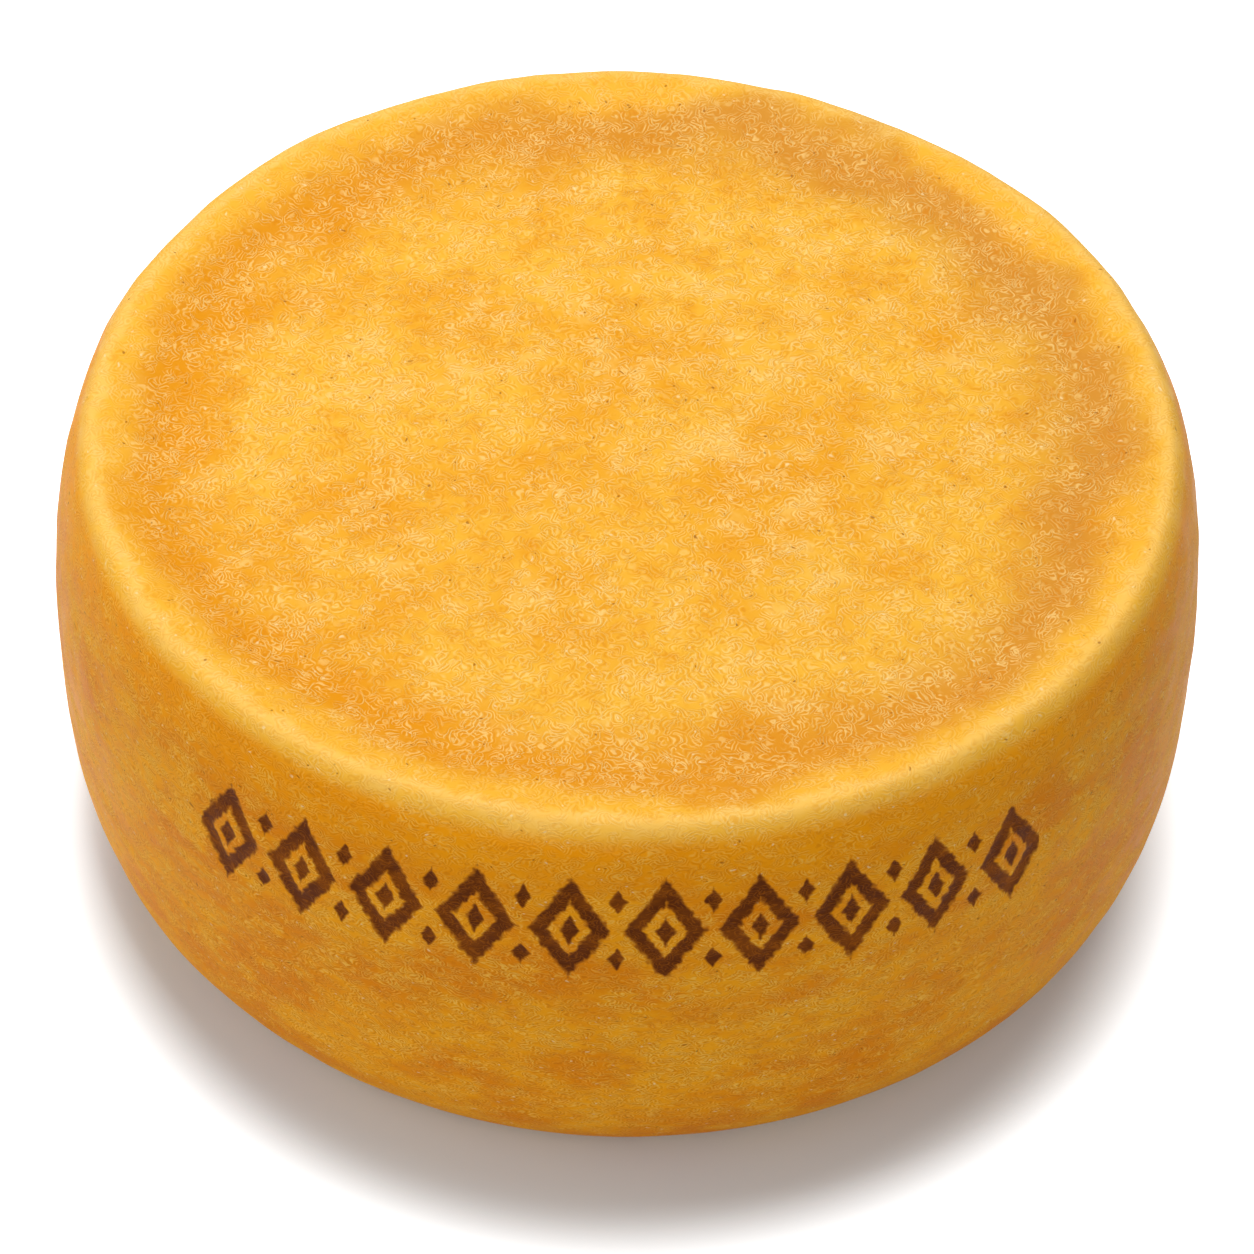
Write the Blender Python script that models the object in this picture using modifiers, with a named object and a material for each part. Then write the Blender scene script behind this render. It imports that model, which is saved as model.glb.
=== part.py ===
"""A whole wheel of pressed, semi-hard cheese, lying on its lower face.

Units are metres and +Z is up. The origin is the centre of the base, on the surface that the wheel
lies on, and -Y is the front. The wheel is one solid: both flat faces are pressed in inside a raised
rim, and the side bulges like a barrel and rolls over into each rim in one smooth curve.
"""

import math

import bpy

# Driving dimensions
WHEEL_RADIUS = 0.150
WHEEL_HEIGHT = 0.123

# Side: two superellipse quarters that meet at the belly, its widest level
BELLY_HEIGHT = 0.46 * WHEEL_HEIGHT
CREST_RADIUS = 0.915 * WHEEL_RADIUS
FOOT_RADIUS = 0.885 * WHEEL_RADIUS
UPPER_FULLNESS = 2.3
LOWER_FULLNESS = 2.8
CORNER_FULLNESS = 1.8

# Upper face: a plateau pressed in below the rim, with a slight swell in its middle
DISH_DEPTH = 0.0042
DISH_SLOPE_WIDTH = 0.145 * WHEEL_RADIUS
DISH_SWELL = 0.0012

# Lower face: a flat ring that bears the weight, round a shallower dish
BASE_RING_WIDTH = 0.085 * WHEEL_RADIUS
BASE_DISH_DEPTH = 0.0016
BASE_SLOPE_WIDTH = 0.100 * WHEEL_RADIUS

# Unevenness of a wheel that was pressed and turned by hand: how far each wave moves the surface,
# and its terms as (lobes round the wheel, strength, phase)
SIDE_WOBBLE = 0.0005
SIDE_WAVES = ((2, 0.60, 0.6), (4, 0.25, 2.4), (6, 0.15, 4.1))
RIM_WOBBLE = 0.0007
RIM_WAVES = ((2, 0.35, 2.0), (3, 0.30, 0.4), (5, 0.20, 3.3), (8, 0.15, 1.2))
EDGE_WOBBLE = 0.0022
EDGE_WAVES = ((3, 0.40, 1.1), (4, 0.25, 5.0), (7, 0.20, 2.7), (11, 0.15, 0.3))

# How finely the turned surface is cut
STEPS_ROUND = 84
FACE_POINTS = 5
SLOPE_POINTS = 6
BARREL_POINTS = 11
MERGE_DISTANCE = 0.00005

RIND_COLOUR = (0.86, 0.42, 0.045, 1.0)
RIND_ROUGHNESS = 0.42


def clear_scene():
    for obj in list(bpy.data.objects):
        bpy.data.objects.remove(obj)


def ease(share):
    """0 to 1 with a level start and end."""
    share = min(max(share, 0.0), 1.0)
    return share * share * (3.0 - 2.0 * share)


def shares(count):
    """Evenly spaced shares from 0 to 1, both ends included."""
    return [i / (count - 1) for i in range(count)]


def waves(angle, terms):
    """A smooth wave round the wheel, within -1 and 1."""
    return sum(strength * math.cos(lobes * angle + phase) for lobes, strength, phase in terms)


def barrel_quarter(rim_radius, rim_height, fullness):
    """From the belly to a rim, where the curve arrives level. The points crowd towards the rim."""
    points = []
    for share in shares(BARREL_POINTS):
        climb = math.sin(share * math.pi / 2)
        out = max(1.0 - climb**fullness, 0.0) ** (1.0 / CORNER_FULLNESS)
        radius = rim_radius + (WHEEL_RADIUS - rim_radius) * out
        points.append((radius, BELLY_HEIGHT + (rim_height - BELLY_HEIGHT) * climb))
    return points


def upper_face():
    """From the centre of the upper face out to the crest of its rim."""
    floor_height = WHEEL_HEIGHT - DISH_DEPTH
    plateau_radius = CREST_RADIUS - DISH_SLOPE_WIDTH
    points = []
    for share in shares(FACE_POINTS):
        points.append((plateau_radius * share, floor_height + DISH_SWELL * (1.0 - ease(share))))
    for share in shares(SLOPE_POINTS)[1:]:
        radius = plateau_radius + DISH_SLOPE_WIDTH * share
        points.append((radius, floor_height + DISH_DEPTH * ease(share)))
    return points


def lower_face():
    """From the inner edge of the bearing ring in to the centre of the lower face."""
    ring_inner = FOOT_RADIUS - BASE_RING_WIDTH
    dish_radius = ring_inner - BASE_SLOPE_WIDTH
    points = []
    for share in shares(SLOPE_POINTS):
        points.append((ring_inner - BASE_SLOPE_WIDTH * share, BASE_DISH_DEPTH * ease(share)))
    for share in shares(FACE_POINTS)[1:]:
        points.append((dish_radius * (1.0 - share), BASE_DISH_DEPTH))
    return points


def section():
    """Half the wheel's section, from the middle of the top down the outside to the middle below."""
    crest_to_belly = barrel_quarter(CREST_RADIUS, WHEEL_HEIGHT, UPPER_FULLNESS)[::-1]
    belly_to_foot = barrel_quarter(FOOT_RADIUS, 0.0, LOWER_FULLNESS)
    return upper_face() + crest_to_belly[1:] + belly_to_foot[1:] + lower_face()


def turned_wheel(collection):
    """The perfectly round wheel: its half section, turned about Z."""
    outline = section()
    edges = [(i, i + 1) for i in range(len(outline) - 1)]
    mesh = bpy.data.meshes.new("wheel_section")
    mesh.from_pydata([(radius, 0.0, height) for radius, height in outline], edges, [])
    obj = bpy.data.objects.new("wheel_section", mesh)
    collection.objects.link(obj)
    screw = obj.modifiers.new("turn", "SCREW")
    screw.axis = "Z"
    screw.angle = math.tau
    screw.steps = STEPS_ROUND
    screw.render_steps = STEPS_ROUND
    screw.use_merge_vertices = True
    screw.merge_threshold = MERGE_DISTANCE
    return obj


def settle(point):
    """Moves one point of the round wheel to where the hand-made one has it. The base stays flat."""
    radius = math.hypot(point.x, point.y)
    if radius < MERGE_DISTANCE:
        return
    angle = math.atan2(point.y, point.x)
    out = ease(radius / WHEEL_RADIUS)
    up = ease(point.z / WHEEL_HEIGHT)
    # The edge of the upper plateau wanders in and out, while the crest outside it hardly does.
    edge_radius = CREST_RADIUS - DISH_SLOPE_WIDTH / 2
    near_edge = math.exp(-(((radius - edge_radius) / (DISH_SLOPE_WIDTH / 2)) ** 2))
    shift = SIDE_WOBBLE * out * waves(angle, SIDE_WAVES)
    if point.z > WHEEL_HEIGHT - 1.5 * DISH_DEPTH:
        shift += EDGE_WOBBLE * near_edge * waves(angle, EDGE_WAVES)
    point.x += shift * math.cos(angle)
    point.y += shift * math.sin(angle)
    point.z += RIM_WOBBLE * out * up * waves(angle, RIM_WAVES)


def rind_material():
    material = bpy.data.materials.new("rind")
    material.use_nodes = True
    shader = material.node_tree.nodes["Principled BSDF"]
    shader.inputs["Base Color"].default_value = RIND_COLOUR
    shader.inputs["Roughness"].default_value = RIND_ROUGHNESS
    shader.inputs["Metallic"].default_value = 0.0
    return material


def cheese_wheel(collection):
    turned = turned_wheel(collection)
    graph = bpy.context.evaluated_depsgraph_get()
    mesh = bpy.data.meshes.new_from_object(turned.evaluated_get(graph))
    bpy.data.objects.remove(turned)
    mesh.name = "cheese_wheel"
    for vertex in mesh.vertices:
        settle(vertex.co)
    mesh.shade_smooth()
    mesh.materials.append(rind_material())
    wheel = bpy.data.objects.new("cheese_wheel", mesh)
    collection.objects.link(wheel)
    return wheel


def main():
    clear_scene()
    collection = bpy.data.collections.new("cheese_wheel")
    bpy.context.scene.collection.children.link(collection)
    cheese_wheel(collection)


main()
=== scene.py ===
"""The looks of a whole wheel of pressed, semi-hard cheese, lying on its lower face.

Units are metres, +Z is up, and -Y is the front. One piece, the rind, stands for the plain CAD solid:
the same turned shape, cut finely enough for the lumps of its skin and for the marks that are burnt
into its side. Its colour, its fine curled relief and its soft, uneven gloss come from its material.
Its colour also holds painted light and shade: glints on the strokes and specks, a highlight along the
crest, a brighter band under the rim, and shade between the strokes and on the ring's back and right.
"""

import math

import bmesh
import bpy
import numpy as np
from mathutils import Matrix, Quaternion, Vector, noise


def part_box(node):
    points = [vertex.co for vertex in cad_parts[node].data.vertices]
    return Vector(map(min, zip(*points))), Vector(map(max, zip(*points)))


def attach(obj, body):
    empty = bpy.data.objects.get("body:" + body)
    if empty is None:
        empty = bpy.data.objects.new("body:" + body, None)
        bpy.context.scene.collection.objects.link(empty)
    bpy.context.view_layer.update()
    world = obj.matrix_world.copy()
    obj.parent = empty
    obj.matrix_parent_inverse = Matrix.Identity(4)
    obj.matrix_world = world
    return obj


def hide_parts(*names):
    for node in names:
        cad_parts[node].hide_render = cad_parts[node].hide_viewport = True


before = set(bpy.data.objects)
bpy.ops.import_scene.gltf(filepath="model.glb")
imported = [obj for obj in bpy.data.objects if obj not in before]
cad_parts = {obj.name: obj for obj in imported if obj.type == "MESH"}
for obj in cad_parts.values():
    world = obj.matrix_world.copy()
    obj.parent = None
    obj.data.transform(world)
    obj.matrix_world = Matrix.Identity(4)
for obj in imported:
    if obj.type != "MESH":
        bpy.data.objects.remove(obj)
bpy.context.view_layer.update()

# The wheel, from the CAD node that it replaces
NODE = "cheese_wheel"
NODE_LOW, NODE_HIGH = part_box(NODE)
WHEEL_RADIUS = (NODE_HIGH.x - NODE_LOW.x + NODE_HIGH.y - NODE_LOW.y) / 4
WHEEL_HEIGHT = NODE_HIGH.z - NODE_LOW.z - 0.0005

# Its section, in the same proportions as the CAD solid
BELLY_HEIGHT = 0.46 * WHEEL_HEIGHT
CREST_RADIUS = 0.915 * WHEEL_RADIUS
FOOT_RADIUS = 0.885 * WHEEL_RADIUS
UPPER_FULLNESS = 2.3
LOWER_FULLNESS = 2.8
CORNER_FULLNESS = 1.8
DISH_DEPTH = 0.0042
DISH_SLOPE_WIDTH = 0.145 * WHEEL_RADIUS
DISH_SWELL = 0.0012
BASE_RING_WIDTH = 0.085 * WHEEL_RADIUS
BASE_DISH_DEPTH = 0.0016
BASE_SLOPE_WIDTH = 0.100 * WHEEL_RADIUS

# Its unevenness, as (lobes round the wheel, strength, phase)
SIDE_WOBBLE = 0.0005
SIDE_WAVES = ((2, 0.60, 0.6), (4, 0.25, 2.4), (6, 0.15, 4.1))
RIM_WOBBLE = 0.0007
RIM_WAVES = ((2, 0.35, 2.0), (3, 0.30, 0.4), (5, 0.20, 3.3), (8, 0.15, 1.2))
EDGE_WOBBLE = 0.0022
EDGE_WAVES = ((3, 0.40, 1.1), (4, 0.25, 5.0), (7, 0.20, 2.7), (11, 0.15, 0.3))

# The skin's relief as mesh, as (size of a lump, depth, how much more of it there is on the rim)
LUMPS = ((0.034, 0.00040, 0.0), (0.013, 0.00016, 1.2), (0.006, 0.00007, 0.6))

# How finely the surface is cut: the cells along each edge of the cube that it is shaped from, and how
# much closer together they lie at the front, where the marks are
CELLS = 110
FRONT_CROWDING = 0.35

# The marks burnt into the front of the side: a row of lozenges with small ones between them, which
# droops towards its ends. Each lozenge is a frame, hollow out to this share of its size, round a stud.
MARK_COUNT = 10
MARK_PITCH = 0.0233
MARK_HEIGHT = 0.0945
MARK_DROOP = 0.028
MARK_HALF_SIZE = (0.0098, 0.0152)
MARK_HOLLOW = 0.56
STUD_HALF_SIZE = (0.0022, 0.0042)
SPOT_HALF_SIZE = (0.0021, 0.0032)
SPOT_LIFT = 0.0090
MARK_DEPTH = 0.0004
ROW_END = MARK_COUNT / 2 - 0.1

# The rind's patterns: clouds and blots of colour, and bundles of curled strokes as (size of a bundle,
# gap between its strokes, shift of its pattern). The skin's bends make the strokes uneven, and the
# patterns are squeezed from top to bottom, so that on the side they run round the wheel.
CLOUD_SIZE = 0.036
BLOT_SIZE = 0.011
STROKES = ((0.0034, 0.00098, (0.0, 0.0, 0.0)), (0.0028, 0.00084, (0.5, 0.2, 0.9)))
STROKE_DEPTH = 0.00009
BEND_SIZE = 0.0026
BEND_STRENGTH = 0.0022
SPECK_SPACING = 0.0034
SIDE_SQUEEZE = 1.7

# Where the floor starts to glow for the camera, round a centre a little in front of the wheel's; this
# painted light draws the outer edge of the wheel's shadow
GLOW_CENTRE = (-0.002, -0.027, 0.0)
GLOW_START = 0.86 * WHEEL_RADIUS
GLOW_FULL = 1.09 * WHEEL_RADIUS
GLOW_LEAST = 0.06

# Lamps, as (name, place, size, power)
LAMPS = (
    ("overhead", (-0.10, 0.20, 1.35), 0.45, 10.9),
    ("left", (-1.2, -0.2, 0.75), 0.9, 2.7),
    ("front", (-0.2, -1.4, 0.7), 0.8, 2.7),
)
SKY_LIGHT = 0.33
FLOOR_SIZE = 12.0

# Camera: far off and looking down, very slightly tilted
CAMERA_ELEVATION = math.radians(46.3)
CAMERA_DISTANCE = 8.35 * WHEEL_RADIUS
CAMERA_TARGET = Vector((0.002, 0.151, 0.144)) * WHEEL_RADIUS
CAMERA_ROLL = math.radians(1.56)
CAMERA_LENS = 130.6


def ease(share):
    """0 to 1 with a level start and end."""
    share = np.clip(share, 0.0, 1.0)
    return share * share * (3.0 - 2.0 * share)


def waves(angle, terms):
    """A smooth wave round the wheel, within -1 and 1."""
    return sum(strength * np.cos(lobes * angle + phase) for lobes, strength, phase in terms)


def srgb(red, green, blue):
    """A colour given as 0 to 255 in sRGB, as linear numbers."""
    shares = [value / 255 for value in (red, green, blue)]
    linear = [s / 12.92 if s <= 0.04045 else ((s + 0.055) / 1.055) ** 2.4 for s in shares]
    return (*linear, 1.0)


# Colours of the upper face and the rim
GOLD = srgb(247, 185, 58)
ORANGE = srgb(238, 160, 30)
CREAM = srgb(252, 206, 112)
RING_ORANGE = srgb(232, 146, 10)
# Painted shade for the ring's back and right
RING_SHADE_BROWN = srgb(210, 138, 50)
RIM = srgb(252, 188, 58)
# A painted highlight along the crest of the rim
CREST_HIGHLIGHT_PAINTED = srgb(255, 210, 116)
# Pale strokes: partly a paler rind, partly painted glints
STROKE_AND_GLINT = srgb(255, 216, 134)
# Painted shade between the strokes' ridges
GROOVE_SHADE_PAINTED = srgb(220, 128, 8)
# Painted glints
SPECK_GLINT = srgb(255, 232, 176)
PINHOLE = srgb(156, 84, 10)

# Colours of the side
SIDE = srgb(248, 162, 12)
SIDE_DEEP = srgb(234, 136, 0)
SIDE_PALE = srgb(254, 174, 30)
SIDE_STROKE_AND_GLINT = srgb(255, 198, 84)
# Painted shade between the strokes' ridges on the side
SIDE_GROOVE_SHADE_PAINTED = srgb(200, 106, 4)
# Partly the rind's own orange, partly painted light
UNDER_RIM_LIT_ORANGE = srgb(252, 160, 8)

# Colours of the marks, in their middle and at their edges
BURNT = srgb(96, 42, 2)
SCORCHED = srgb(172, 92, 14)

# Colours of the studio
FLOOR_COLOUR = (0.74, 0.80, 0.84, 1.0)
WHITE = (1.0, 1.0, 1.0, 1.0)


# ---- The shape ----


def barrel_quarter(rim_radius, rim_height, fullness, share):
    """From the belly, at 0, to a rim, at 1, where the curve arrives level."""
    climb = np.sin(share * math.pi / 2)
    out = np.maximum(1.0 - climb**fullness, 0.0) ** (1.0 / CORNER_FULLNESS)
    radius = rim_radius + (WHEEL_RADIUS - rim_radius) * out
    return radius, BELLY_HEIGHT + (rim_height - BELLY_HEIGHT) * climb


def upper_face():
    """Radius and height from the centre of the upper face out to the crest of its rim."""
    radius = np.linspace(0.0, CREST_RADIUS, 400)
    plateau_radius = CREST_RADIUS - DISH_SLOPE_WIDTH
    height = WHEEL_HEIGHT - DISH_DEPTH + DISH_SWELL * (1.0 - ease(radius / plateau_radius))
    return radius, height + DISH_DEPTH * ease((radius - plateau_radius) / DISH_SLOPE_WIDTH)


def side():
    """Radius and height from the crest down to the foot."""
    share = np.linspace(0.0, 1.0, 400)
    upper = barrel_quarter(CREST_RADIUS, WHEEL_HEIGHT, UPPER_FULLNESS, share[::-1])
    lower = barrel_quarter(FOOT_RADIUS, 0.0, LOWER_FULLNESS, share)
    return tuple(np.concatenate((above, below[1:])) for above, below in zip(upper, lower))


def lower_face():
    """Radius and height from the foot in to the centre of the lower face."""
    radius = np.linspace(FOOT_RADIUS, 0.0, 400)
    ring_inner = FOOT_RADIUS - BASE_RING_WIDTH
    return radius, BASE_DISH_DEPTH * ease((ring_inner - radius) / BASE_SLOPE_WIDTH)


def along(line, share):
    """The points at these shares of a line's length."""
    radius, height = line
    length = np.concatenate(([0.0], np.cumsum(np.hypot(np.diff(radius), np.diff(height)))))
    way = share * length[-1]
    return np.interp(way, length, radius), np.interp(way, length, height)


def cube_mesh():
    """A cube from -1 to 1, cut into even quads."""
    shell = bmesh.new()
    bmesh.ops.create_cube(shell, size=2.0)
    bmesh.ops.subdivide_edges(shell, edges=shell.edges[:], cuts=CELLS - 1, use_grid_fill=True)
    mesh = bpy.data.meshes.new("rind")
    shell.to_mesh(mesh)
    shell.free()
    return mesh


def read(vertices, name):
    """The places or the normals of a mesh, one row for each point."""
    values = np.empty(len(vertices) * 3, np.float32)
    vertices.foreach_get(name, values)
    return values.reshape(-1, 3).astype(float)


def turned(cube):
    """Wraps the cube round the wheel. Its top and bottom become the faces, its four sides the side."""
    x, y, z = cube.T
    spread = np.maximum(abs(x), abs(y))
    # Equal steps along a square's edge become equal angles, counted from the front.
    wide = abs(x) >= abs(y)
    turn = np.where(wide, y / np.where(wide & (x != 0), x, 1.0), 2.0 - x / np.where(y != 0, y, 1.0))
    turn = turn + np.where(np.where(wide, x < 0, y < 0), 4.0, 0.0)
    angle = turn * math.pi / 4 + math.pi / 2
    angle = angle - FRONT_CROWDING * np.sin(angle)
    stretches = (
        (z > 1.0 - 1e-6, upper_face(), spread),
        (abs(z) <= 1.0 - 1e-6, side(), (1.0 - z) / 2),
        (z < -1.0 + 1e-6, lower_face(), 1.0 - spread),
    )
    radius, height = np.zeros(len(x)), np.zeros(len(x))
    for here, line, share in stretches:
        radius[here], height[here] = along(line, share[here])
    return angle, radius, height


def settled(angle, radius, height):
    """The turned shape as a hand-made wheel has it. The base stays flat."""
    from_x = angle - math.pi / 2
    out = ease(radius / WHEEL_RADIUS)
    up = ease(height / WHEEL_HEIGHT)
    edge_radius = CREST_RADIUS - DISH_SLOPE_WIDTH / 2
    near_edge = np.exp(-(((radius - edge_radius) / (DISH_SLOPE_WIDTH / 2)) ** 2))
    near_edge = near_edge * (height > WHEEL_HEIGHT - 1.5 * DISH_DEPTH)
    radius = radius + SIDE_WOBBLE * out * waves(from_x, SIDE_WAVES)
    radius = radius + EDGE_WOBBLE * near_edge * waves(from_x, EDGE_WAVES)
    height = height + RIM_WOBBLE * out * up * waves(from_x, RIM_WAVES)
    return np.stack((radius * np.sin(angle), -radius * np.cos(angle), height), axis=1)


def lozenge(across, up, half_size):
    """0 in the middle of a lozenge and 1 on its outline."""
    return abs(across) / half_size[0] + abs(up) / half_size[1]


def inside(measure, softness):
    """1 where a measure is under 1, and 0 over it, with an edge this soft."""
    return ease((1.0 - measure) / softness + 0.5)


def burnt_marks(angle, height):
    """How deeply each point of the side is burnt, from 0 to 1."""
    across = WHEEL_RADIUS * angle
    up = height - MARK_HEIGHT + MARK_DROOP * (1.0 - np.cos(angle))
    cell = across / MARK_PITCH
    across = (cell - np.floor(cell) - 0.5) * MARK_PITCH
    outline = lozenge(across, up, MARK_HALF_SIZE)
    frame_mark = inside(outline, 0.2) * (1.0 - inside(outline / MARK_HOLLOW, 0.3))
    stud = inside(lozenge(across, up, STUD_HALF_SIZE), 0.5)
    spot = inside(lozenge(MARK_PITCH / 2 - abs(across), abs(up) - SPOT_LIFT, SPOT_HALF_SIZE), 0.5)
    return np.maximum(np.maximum(frame_mark, stud), spot) * (abs(cell) < ROW_END)


def lumpy(places, angle, height):
    """How far the skin stands out at each point."""
    crest_gap = np.hypot(places[:, 0], places[:, 1]) - CREST_RADIUS
    on_rim = np.exp(-((crest_gap / 0.012) ** 2)) * (height > WHEEL_HEIGHT / 2)
    out = np.zeros(len(places))
    for layer, (size, depth, more_on_rim) in enumerate(LUMPS):
        shift = Vector((layer * 7.3, 0.0, 0.0))
        lump = np.array([noise.noise(Vector(place) / size + shift) for place in places])
        out += depth * lump * (1.0 + more_on_rim * on_rim)
    angle = np.where(angle > math.pi, angle - math.tau, angle)
    out -= MARK_DEPTH * burnt_marks(angle, height) * (height < WHEEL_HEIGHT - 0.004)
    # The foot bears the weight, so nothing stands out below it.
    return out * ease(places[:, 2] / 0.012)


def rind_piece():
    """The wheel's skin, lumps and burnt hollows included."""
    mesh = cube_mesh()
    angle, radius, height = turned(read(mesh.vertices, "co"))
    places = settled(angle, radius, height)
    mesh.vertices.foreach_set("co", places.astype(np.float32).ravel())
    mesh.update()
    normals = read(mesh.vertices, "normal")
    places = places + normals * lumpy(places, angle, height)[:, None]
    mesh.vertices.foreach_set("co", places.astype(np.float32).ravel())
    mesh.update()
    mesh.shade_smooth()
    mesh.materials.append(rind_material())
    piece = bpy.data.objects.new("rind", mesh)
    bpy.context.scene.collection.objects.link(piece)
    return piece


# ---- The materials ----


class Graph:
    """The shader nodes of a material or a world. Each method adds nodes and gives back their output."""

    def __init__(self, owner):
        owner.use_nodes = True
        self.tree = owner.node_tree
        self.tree.nodes.clear()

    def add(self, kind, inputs, **settings):
        node = self.tree.nodes.new(kind)
        for name, value in settings.items():
            setattr(node, name, value)
        for name, value in inputs.items():
            if isinstance(value, bpy.types.NodeSocket):
                self.tree.links.new(value, node.inputs[name])
            else:
                node.inputs[name].default_value = value
        return node.outputs

    def math(self, operation, *values):
        return self.add("ShaderNodeMath", dict(enumerate(values)), operation=operation)[0]

    def times(self, *values):
        product = values[0]
        for value in values[1:]:
            product = self.math("MULTIPLY", product, value)
        return product

    def vector(self, operation, *values):
        return self.add("ShaderNodeVectorMath", dict(enumerate(values)), operation=operation)[0]

    def distance(self, first, second):
        inputs = {0: first, 1: second}
        return self.add("ShaderNodeVectorMath", inputs, operation="DISTANCE")["Value"]

    def split(self, vector):
        return self.add("ShaderNodeSeparateXYZ", {0: vector})

    def join(self, x, y, z):
        return self.add("ShaderNodeCombineXYZ", {0: x, 1: y, 2: z})[0]

    def place(self):
        """Where each point is, in the object's own frame."""
        return self.add("ShaderNodeTexCoord", {})["Object"]

    def step(self, value, start, end, low=0.0, high=1.0):
        """A smooth step from low, where value is start, to high, where it is end."""
        inputs = {0: value, 1: start, 2: end, 3: low, 4: high}
        return self.add("ShaderNodeMapRange", inputs, interpolation_type="SMOOTHSTEP")[0]

    def noise(self, where, size, detail, roughness):
        inputs = {"Vector": where, "Scale": 1.0 / size, "Detail": detail, "Roughness": roughness}
        return self.add("ShaderNodeTexNoise", inputs)["Fac"]

    def cells(self, where, size):
        return self.add("ShaderNodeTexVoronoi", {"Vector": where, "Scale": 1.0 / size})

    def mix(self, share, first, second):
        """The first colour where share is 0, and the second where it is 1."""
        return self.add("ShaderNodeMix", {"Factor": share, 6: first, 7: second}, data_type="RGBA")[2]

    def seen(self):
        """1 for what the camera sees, also in a gloss or through glass, and 0 for what lights a surface."""
        path = self.add("ShaderNodeLightPath", {})
        seen = self.math("MAXIMUM", path["Is Camera Ray"], path["Is Glossy Ray"])
        return self.math("MAXIMUM", seen, path["Is Transmission Ray"])


class Skin:
    """What every layer of the rind reads: the place, its distance from the axis, and the two patterns."""

    def __init__(self, graph):
        self.where = graph.place()
        self.x, self.y, self.z = graph.split(self.where)
        self.radius = graph.distance(graph.join(self.x, self.y, 0.0), (0.0, 0.0, 0.0))
        self.drawn_out = graph.vector("MULTIPLY", self.where, (1.0, 1.0, SIDE_SQUEEZE))
        self.clouds = graph.noise(self.drawn_out, CLOUD_SIZE, 2.0, 0.55)
        self.blots = graph.noise(self.drawn_out, BLOT_SIZE, 3.0, 0.62)
        inputs = {"Vector": self.drawn_out, "Scale": 1.0 / BEND_SIZE, "Detail": 0.0}
        bend = graph.add("ShaderNodeTexNoise", inputs)["Color"]
        bend = graph.vector("SUBTRACT", bend, (0.5, 0.5, 0.5))
        bend = graph.vector("MULTIPLY", bend, (BEND_STRENGTH, BEND_STRENGTH, BEND_STRENGTH))
        self.bent = graph.vector("ADD", self.drawn_out, bend)

        low = graph.step(self.z, WHEEL_HEIGHT - 0.0015, WHEEL_HEIGHT - 0.0065)
        outer = graph.step(self.radius, 0.84 * WHEEL_RADIUS, 0.90 * WHEEL_RADIUS)
        self.on_side = graph.times(low, outer)
        wander = graph.times(graph.math("SUBTRACT", self.blots, 0.5), 0.010)
        off_crest = graph.math("SUBTRACT", graph.math("ADD", self.radius, wander), CREST_RADIUS)
        self.off_crest = graph.math("ABSOLUTE", off_crest)


def upper_face_colour(graph, skin):
    """Clouds of gold and orange with blots of cream and orange, a darker ring with painted shade at its back
    and right, and a brighter rim.
    """
    colour = graph.mix(graph.step(skin.clouds, 0.38, 0.74, 0.0, 0.9), GOLD, ORANGE)
    colour = graph.mix(graph.step(skin.blots, 0.50, 0.76, 0.0, 0.5), colour, CREAM)
    colour = graph.mix(graph.step(skin.blots, 0.46, 0.26, 0.0, 0.7), colour, ORANGE)

    # The ring lies where the dish slopes up and wanders in and out. Towards the back and right it is painted
    # browner, as shade where the light falls off.
    wander = graph.times(graph.math("SUBTRACT", skin.clouds, 0.5), 0.035)
    place = graph.math("DIVIDE", graph.math("ADD", skin.radius, wander), WHEEL_RADIUS)
    ring = graph.times(graph.step(place, 0.62, 0.80), graph.step(place, 0.91, 0.80), 0.85)
    rightward = graph.math("ADD", skin.x, graph.times(skin.y, 0.4))
    ring_painted_shade = graph.step(rightward, -0.7 * WHEEL_RADIUS, 0.8 * WHEEL_RADIUS)
    colour = graph.mix(ring, colour, graph.mix(ring_painted_shade, RING_ORANGE, RING_SHADE_BROWN))
    return graph.mix(graph.step(place, 0.84, 0.91, 0.0, 0.8), colour, RIM)


def side_colour(graph, skin):
    """Deeper clouds and blots, and a clear orange band under the rim, partly its own saturated orange and
    partly painted light that brightens the side where it turns up into the rim.
    """
    colour = graph.mix(graph.step(skin.clouds, 0.38, 0.66), SIDE, SIDE_DEEP)
    colour = graph.mix(graph.step(skin.blots, 0.46, 0.72, 0.0, 0.7), colour, SIDE_PALE)
    colour = graph.mix(graph.step(skin.blots, 0.46, 0.28, 0.0, 0.6), colour, SIDE_DEEP)
    # Partly painted light: brighter where the side turns up into the rim.
    under_rim_light = graph.step(skin.z, WHEEL_HEIGHT - 0.026, WHEEL_HEIGHT - 0.010, 0.0, 0.7)
    return graph.mix(under_rim_light, colour, UNDER_RIM_LIT_ORANGE)


def curls(graph, where, size, gap):
    """Little bundles of curled strokes: how much each place lies on one's ridge, and how much between.

    Each cell of this size holds ripples about a middle of its own, thrown in any direction, and they
    fade before they reach the next cell.
    """
    cell = graph.cells(where, size)
    throw = graph.vector("SUBTRACT", cell["Color"], (0.5, 0.5, 0.5))
    throw = graph.vector("MULTIPLY", throw, (1.5 * size, 1.5 * size, 1.5 * size))
    middle = graph.vector("ADD", cell["Position"], throw)
    reach = graph.distance(where, middle)
    ripple = graph.math("PINGPONG", graph.math("DIVIDE", reach, gap), 0.5)
    here = graph.step(cell["Distance"], 0.72, 0.40)
    ridge = graph.times(graph.step(ripple, 0.26, 0.44), here)
    groove_shade = graph.times(graph.step(ripple, 0.22, 0.06), here)
    return ridge, groove_shade


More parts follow.
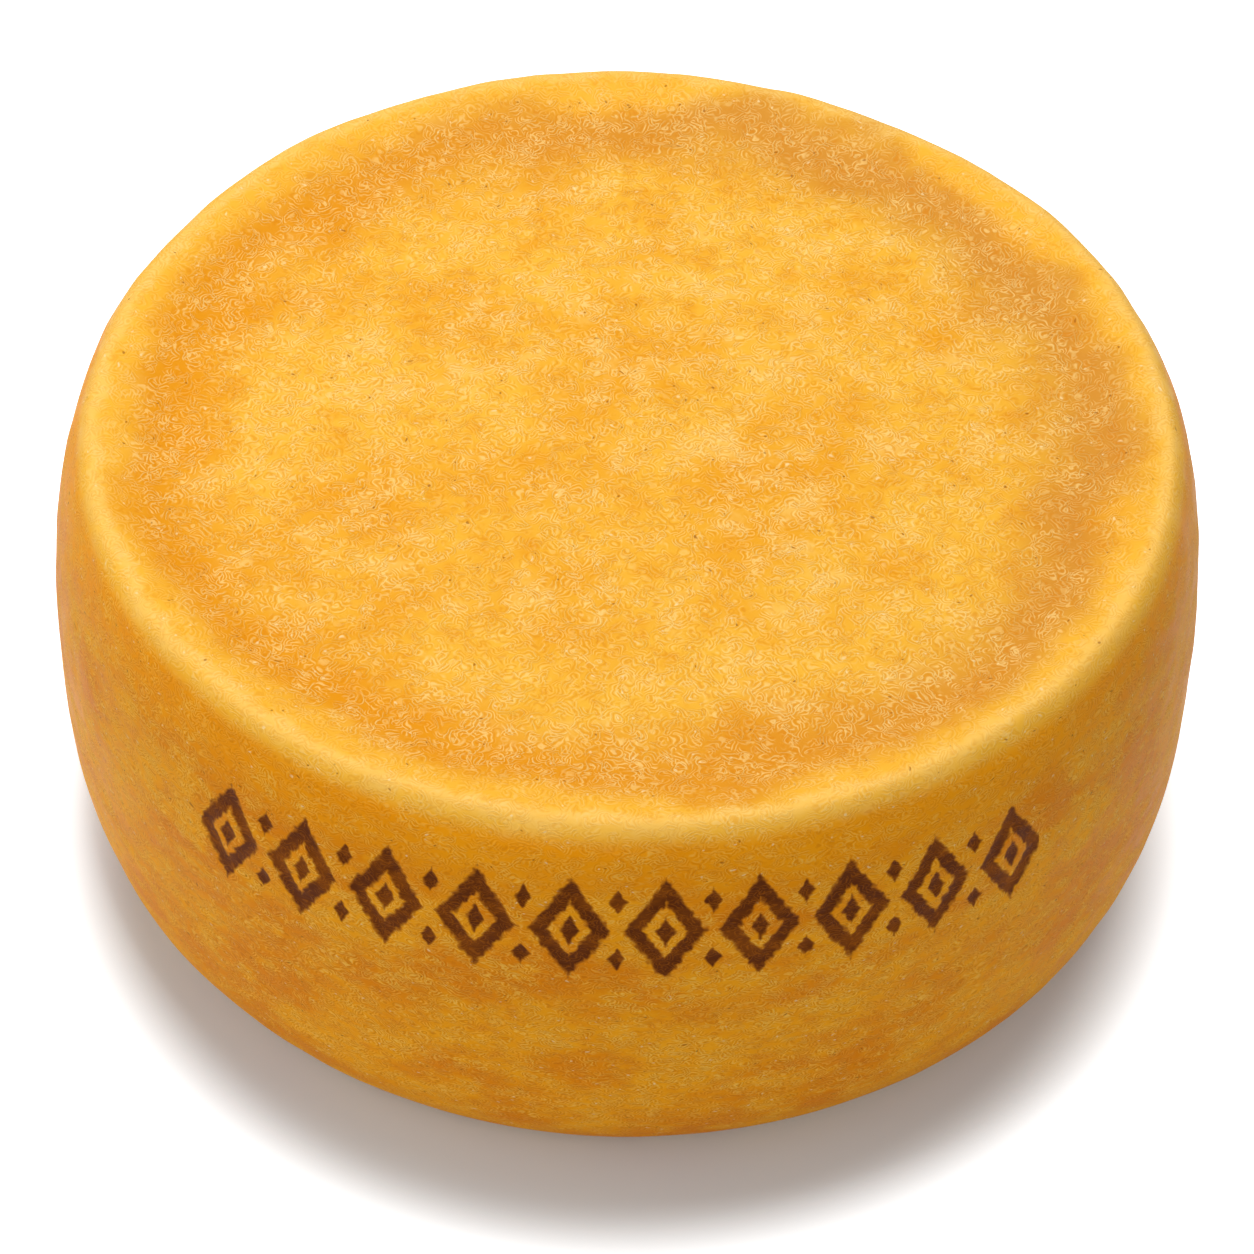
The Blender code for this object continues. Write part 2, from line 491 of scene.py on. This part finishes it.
def stroked(graph, skin, colour, ridge, groove_shade, relief):
    """Adds the strokes to a colour: pale along their ridges, partly a paler rind and partly painted glints,
    and deep orange between them, which is painted shade; clearer on the side.
    """
    clearer = graph.math("ADD", graph.times(skin.on_side, 0.2), 0.8)
    strength = graph.times(relief, clearer)
    # Painted shade: deep orange between the strokes' ridges.
    dark = graph.mix(skin.on_side, GROOVE_SHADE_PAINTED, SIDE_GROOVE_SHADE_PAINTED)
    colour = graph.mix(graph.times(groove_shade, 0.5, strength), colour, dark)
    # Partly a paler rind and partly painted glints along the strokes' ridges.
    pale = graph.mix(skin.on_side, STROKE_AND_GLINT, SIDE_STROKE_AND_GLINT)
    pale_share = graph.times(graph.step(skin.blots, 0.34, 0.64, 0.25, 0.80), strength)
    return graph.mix(graph.times(ridge, pale_share), colour, pale)


def specked(graph, skin, colour):
    """Adds scattered specks to a colour: most of them pale, which are painted glints, and a few of them dark.
    """
    cell = graph.cells(skin.bent, SPECK_SPACING)
    kind = graph.split(cell["Color"])[0]
    speck = graph.step(cell["Distance"], 0.16, 0.06)
    pale = graph.times(speck, graph.math("GREATER_THAN", kind, 0.55))
    dark = graph.times(speck, graph.math("LESS_THAN", kind, 0.20))
    # The pale specks are painted glints.
    colour = graph.mix(graph.times(pale, 0.55), colour, SPECK_GLINT)
    return graph.mix(graph.times(dark, 0.7), colour, PINHOLE)


def lozenge_nodes(graph, across, up, half_size):
    """The same measure as lozenge."""
    flat = graph.math("DIVIDE", graph.math("ABSOLUTE", across), half_size[0])
    tall = graph.math("DIVIDE", graph.math("ABSOLUTE", up), half_size[1])
    return graph.math("ADD", flat, tall)


def burn_share(graph, skin):
    """How dark each place is burnt: burnt_marks, with soft and ragged edges."""
    angle = graph.math("ARCTAN2", skin.x, graph.times(skin.y, -1.0))
    cell = graph.times(angle, WHEEL_RADIUS / MARK_PITCH)
    centred = graph.math("SUBTRACT", graph.math("FRACT", cell), 0.5)
    across = graph.math("ABSOLUTE", graph.times(centred, MARK_PITCH))
    droop = graph.times(graph.math("ADD", graph.math("DIVIDE", skin.y, skin.radius), 1.0), MARK_DROOP)
    up = graph.math("ABSOLUTE", graph.math("ADD", graph.math("SUBTRACT", skin.z, MARK_HEIGHT), droop))
    ragged = graph.math("SUBTRACT", graph.noise(skin.where, 0.0022, 1.0, 0.6), 0.5)

    outline = graph.math("ADD", lozenge_nodes(graph, across, up, MARK_HALF_SIZE), graph.times(ragged, 0.30))
    hollow = graph.step(outline, MARK_HOLLOW - 0.10, MARK_HOLLOW + 0.08)
    frames = graph.times(graph.step(outline, 1.12, 0.92), hollow)
    stud = lozenge_nodes(graph, across, up, STUD_HALF_SIZE)
    beside = graph.math("SUBTRACT", MARK_PITCH / 2, across)
    spot = lozenge_nodes(graph, beside, graph.math("SUBTRACT", up, SPOT_LIFT), SPOT_HALF_SIZE)
    nearest = graph.math("ADD", graph.math("MINIMUM", stud, spot), graph.times(ragged, 0.9))
    marks = graph.math("MAXIMUM", frames, graph.step(nearest, 1.35, 0.75))

    in_row = graph.math("LESS_THAN", graph.math("ABSOLUTE", cell), ROW_END)
    on_side = graph.step(skin.z, WHEEL_HEIGHT - 0.004, WHEEL_HEIGHT - 0.007)
    return graph.times(marks, in_row, on_side)


def charred(graph, skin, colour, ridge):
    """Adds the burnt marks to a colour: scorched at their edges, darker inside, with the strokes showing."""
    burnt = burn_share(graph, skin)
    colour = graph.mix(graph.step(burnt, 0.0, 0.5, 0.0, 0.7), colour, SCORCHED)
    char = graph.times(graph.math("ADD", ridge, graph.step(skin.blots, 0.4, 0.7)), 0.4)
    return graph.mix(graph.step(burnt, 0.3, 1.0), colour, graph.mix(char, BURNT, SCORCHED))


def rind_material():
    material = bpy.data.materials.new("cheese_rind")
    graph = Graph(material)
    skin = Skin(graph)
    colour = graph.mix(skin.on_side, upper_face_colour(graph, skin), side_colour(graph, skin))
    # Painted highlight: a pale line along the crest of the rim.
    colour = graph.mix(graph.step(skin.off_crest, 0.0040, 0.0, 0.0, 0.5), colour, CREST_HIGHLIGHT_PAINTED)

    # The strokes are fainter on the rim, which is worn smooth. Only the coarser ones stand out.
    worn = graph.step(skin.off_crest, 0.016, 0.003)
    relief = graph.math("SUBTRACT", 1.0, graph.times(worn, 0.4))
    layers = [curls(graph, graph.vector("ADD", skin.bent, shift), size, gap) for size, gap, shift in STROKES]
    coarse_ridge = layers[0][0]
    ridge, groove_shade = (graph.math("MAXIMUM", first, second) for first, second in zip(*layers))
    bump = graph.add("ShaderNodeBump", {"Strength": relief, "Distance": STROKE_DEPTH, "Height": coarse_ridge})

    colour = stroked(graph, skin, colour, ridge, groove_shade, relief)
    colour = specked(graph, skin, colour)
    colour = charred(graph, skin, colour, ridge)
    inputs = {"Base Color": colour, "Normal": bump[0], "IOR": 1.45, "Specular IOR Level": 0.05}
    inputs["Roughness"] = graph.step(skin.blots, 0.3, 0.7, 0.45, 0.60)
    shader = graph.add("ShaderNodeBsdfPrincipled", inputs)
    graph.add("ShaderNodeOutputMaterial", {"Surface": shader[0]})
    return material


# ---- The studio ----


def floor_material():
    """A light, slightly cool grey, and to the camera brightened to plain white away from the wheel. This glow
    is painted light that draws the outer edge of the wheel's shadow.
    """
    material = bpy.data.materials.new("studio_floor")
    graph = Graph(material)
    glow = graph.step(graph.distance(graph.place(), GLOW_CENTRE), GLOW_START, GLOW_FULL, GLOW_LEAST, 1.0)
    light = graph.add("ShaderNodeEmission", {"Strength": graph.times(glow, graph.seen())})
    plain = graph.add("ShaderNodeBsdfDiffuse", {"Color": FLOOR_COLOUR})
    both = graph.add("ShaderNodeAddShader", {0: plain[0], 1: light[0]})
    graph.add("ShaderNodeOutputMaterial", {"Surface": both[0]})
    return material


def studio():
    """A floor that keeps the wheel's shadow, and a white world, dimmer where it lights things."""
    bpy.ops.mesh.primitive_plane_add(size=FLOOR_SIZE)
    floor = bpy.context.object
    floor.name = "floor"
    floor.data.materials.append(floor_material())

    world = bpy.data.worlds.new("studio")
    bpy.context.scene.world = world
    graph = Graph(world)
    level = graph.step(graph.seen(), 0.0, 1.0, SKY_LIGHT, 1.0)
    sky = graph.add("ShaderNodeBackground", {"Color": WHITE, "Strength": level})
    graph.add("ShaderNodeOutputWorld", {"Surface": sky[0]})


def softbox(name, place, size, power):
    """A square white lamp that faces the wheel."""
    lamp = bpy.data.lights.new(name, "AREA")
    lamp.size = size
    lamp.energy = power
    holder = bpy.data.objects.new(name, lamp)
    holder.location = place
    aim = Vector((0.0, 0.0, WHEEL_HEIGHT / 2)) - holder.location
    holder.rotation_mode = "QUATERNION"
    holder.rotation_quaternion = aim.to_track_quat("-Z", "Y")
    bpy.context.scene.collection.objects.link(holder)


def camera():
    """Looks along +Y and down at the wheel."""
    ahead = Vector((0.0, math.cos(CAMERA_ELEVATION), -math.sin(CAMERA_ELEVATION)))
    view = bpy.data.objects.new("camera", bpy.data.cameras.new("camera"))
    view.data.lens = CAMERA_LENS
    view.location = CAMERA_TARGET - ahead * CAMERA_DISTANCE
    view.rotation_mode = "QUATERNION"
    view.rotation_quaternion = ahead.to_track_quat("-Z", "Y") @ Quaternion((0.0, 0.0, 1.0), CAMERA_ROLL)
    bpy.context.scene.collection.objects.link(view)
    bpy.context.scene.camera = view


rind = rind_piece()
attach(rind, "root")
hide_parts(NODE)

camera()
studio()
for lamp in LAMPS:
    softbox(*lamp)
bpy.context.scene.view_settings.view_transform = "Standard"
